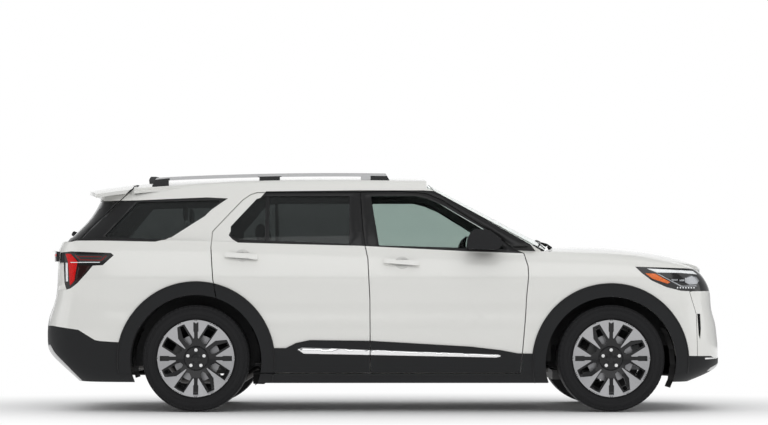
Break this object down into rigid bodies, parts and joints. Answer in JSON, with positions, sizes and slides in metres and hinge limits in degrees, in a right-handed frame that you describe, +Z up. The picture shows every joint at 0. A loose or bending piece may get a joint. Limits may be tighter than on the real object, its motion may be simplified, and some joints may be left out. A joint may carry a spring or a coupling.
{
  "type": "three-row sport utility vehicle",
  "caption": "Off-white family SUV with hinged doors, hood and liftgate, steering front wheels, roof rails and dark lower cladding.",
  "frame": {"origin": "on the ground under the middle of the whole vehicle", "axes": "+X forwards, +Y to the vehicle's left, +Z up"},
  "size_m": [5.0421, 2.2646, 1.7631],
  "materials": {
    "paint": "warm off-white gloss",
    "cladding": "matte dark grey",
    "gloss_black": "gloss black",
    "clear_glass": "clear, slightly green",
    "dark_glass": "dark privacy tint",
    "lamp": "clear lamp cover",
    "red_lamp": "red and smoked lamp",
    "satin_rail": "satin",
    "underbody": "matt black",
    "chassis": "cast and painted",
    "cabin_plastic": "soft grain",
    "seat": "dark leather",
    "engine": "cast",
    "exhaust": "dull",
    "alloy": "machined faces, gloss black pockets",
    "tyre": "matte rubber",
    "brake_disc": "turned"
  },
  "bodies": {
    "root": {"body_side_left": "paint", "body_side_right": "paint", "fenders": "paint", "front_bumper": "paint", "front_valance": "cladding", "headlamps": "lamp", "grille": "gloss_black", "rear_bumper": "paint", "rear_valance": "cladding", "tail_lamps": "red_lamp", "roof_panel": "paint", "windshield": "clear_glass", "quarter_glass": "dark_glass", "roof_rails": "satin_rail", "antenna": "gloss_black", "floor_pan": "underbody", "cowl": "cladding", "roof_header": "underbody", "body_trim": "cladding", "front_suspension": "chassis", "rear_suspension": "chassis", "dashboard": "cabin_plastic", "front_seats": "seat", "second_row_seat": "seat", "third_row_seat": "seat", "engine_block": "engine", "fuel_tank": "cabin_plastic", "exhaust": "exhaust"},
    "hood": {"hood": "paint"},
    "liftgate": {"liftgate": "paint", "liftgate_glass": "dark_glass"},
    "steering_wheel": {"steering_wheel": "cabin_plastic"},
    "front_door_left": {"front_door_left": "paint", "front_door_glass_left": "clear_glass", "front_door_trim_left": "cladding", "mirror_left": "gloss_black"},
    "rear_door_left": {"rear_door_left": "paint", "rear_door_glass_left": "dark_glass", "rear_door_trim_left": "cladding"},
    "knuckle_left": {"knuckle_left": "chassis"},
    "front_wheel_left": {"front_rim_left": "alloy", "front_tyre_left": "tyre", "front_disc_left": "brake_disc"},
    "rear_wheel_left": {"rear_rim_left": "alloy", "rear_tyre_left": "tyre", "rear_disc_left": "brake_disc"},
    "front_door_right": {"front_door_right": "paint", "front_door_glass_right": "clear_glass", "front_door_trim_right": "cladding", "mirror_right": "gloss_black"},
    "rear_door_right": {"rear_door_right": "paint", "rear_door_glass_right": "dark_glass", "rear_door_trim_right": "cladding"},
    "knuckle_right": {"knuckle_right": "chassis"},
    "front_wheel_right": {"front_rim_right": "alloy", "front_tyre_right": "tyre", "front_disc_right": "brake_disc"},
    "rear_wheel_right": {"rear_rim_right": "alloy", "rear_tyre_right": "tyre", "rear_disc_right": "brake_disc"}
  },
  "joints": [
    {"name": "front_door_left_hinge", "type": "hinge", "parent": "root", "child": "front_door_left", "pos_m": [0.996, 0.96842, 0.79], "axis": [0, 0, -1], "range_deg": [0, 65]},
    {"name": "rear_door_left_hinge", "type": "hinge", "parent": "root", "child": "rear_door_left", "pos_m": [-0.154, 0.97031, 0.79], "axis": [0, 0, -1], "range_deg": [0, 68]},
    {"name": "front_wheel_left_roll", "type": "hinge", "parent": "knuckle_left", "child": "front_wheel_left", "pos_m": [1.655, 0.845, 0.39], "axis": [0, 1, 0], "continuous": true},
    {"name": "rear_wheel_left_roll", "type": "hinge", "parent": "root", "child": "rear_wheel_left", "pos_m": [-1.37, 0.845, 0.39], "axis": [0, 1, 0], "continuous": true},
    {"name": "steer_left", "type": "hinge", "parent": "root", "child": "knuckle_left", "pos_m": [1.655, 0.75, 0.39], "axis": [0, 0, 1], "range_deg": [-33, 33]},
    {"name": "front_door_right_hinge", "type": "hinge", "parent": "root", "child": "front_door_right", "pos_m": [0.996, -0.96842, 0.79], "axis": [0, 0, 1], "range_deg": [0, 65]},
    {"name": "rear_door_right_hinge", "type": "hinge", "parent": "root", "child": "rear_door_right", "pos_m": [-0.154, -0.97031, 0.79], "axis": [0, 0, 1], "range_deg": [0, 68]},
    {"name": "front_wheel_right_roll", "type": "hinge", "parent": "knuckle_right", "child": "front_wheel_right", "pos_m": [1.655, -0.845, 0.39], "axis": [0, 1, 0], "continuous": true},
    {"name": "rear_wheel_right_roll", "type": "hinge", "parent": "root", "child": "rear_wheel_right", "pos_m": [-1.37, -0.845, 0.39], "axis": [0, 1, 0], "continuous": true},
    {"name": "steer_right", "type": "hinge", "parent": "root", "child": "knuckle_right", "pos_m": [1.655, -0.75, 0.39], "axis": [0, 0, 1], "range_deg": [-33, 33]},
    {"name": "hood_hinge", "type": "hinge", "parent": "root", "child": "hood", "pos_m": [1.12, 0, 1.14], "axis": [0, -1, 0], "range_deg": [0, 45]},
    {"name": "liftgate_hinge", "type": "hinge", "parent": "root", "child": "liftgate", "pos_m": [-1.87857, 0, 1.6667], "axis": [0, 1, 0], "range_deg": [0, 75]},
    {"name": "steering_wheel_turn", "type": "hinge", "parent": "root", "child": "steering_wheel", "pos_m": [0.70969, 0.37074, 1.09518], "axis": [-0.9135, 0, 0.4067], "range_deg": [-500, 500]}
  ],
  "couplings": [
    {"joint": "steer_right", "follows": "steer_left", "ratio": 1},
    {"joint": "steering_wheel_turn", "follows": "steer_left", "ratio": 15}
  ]
}
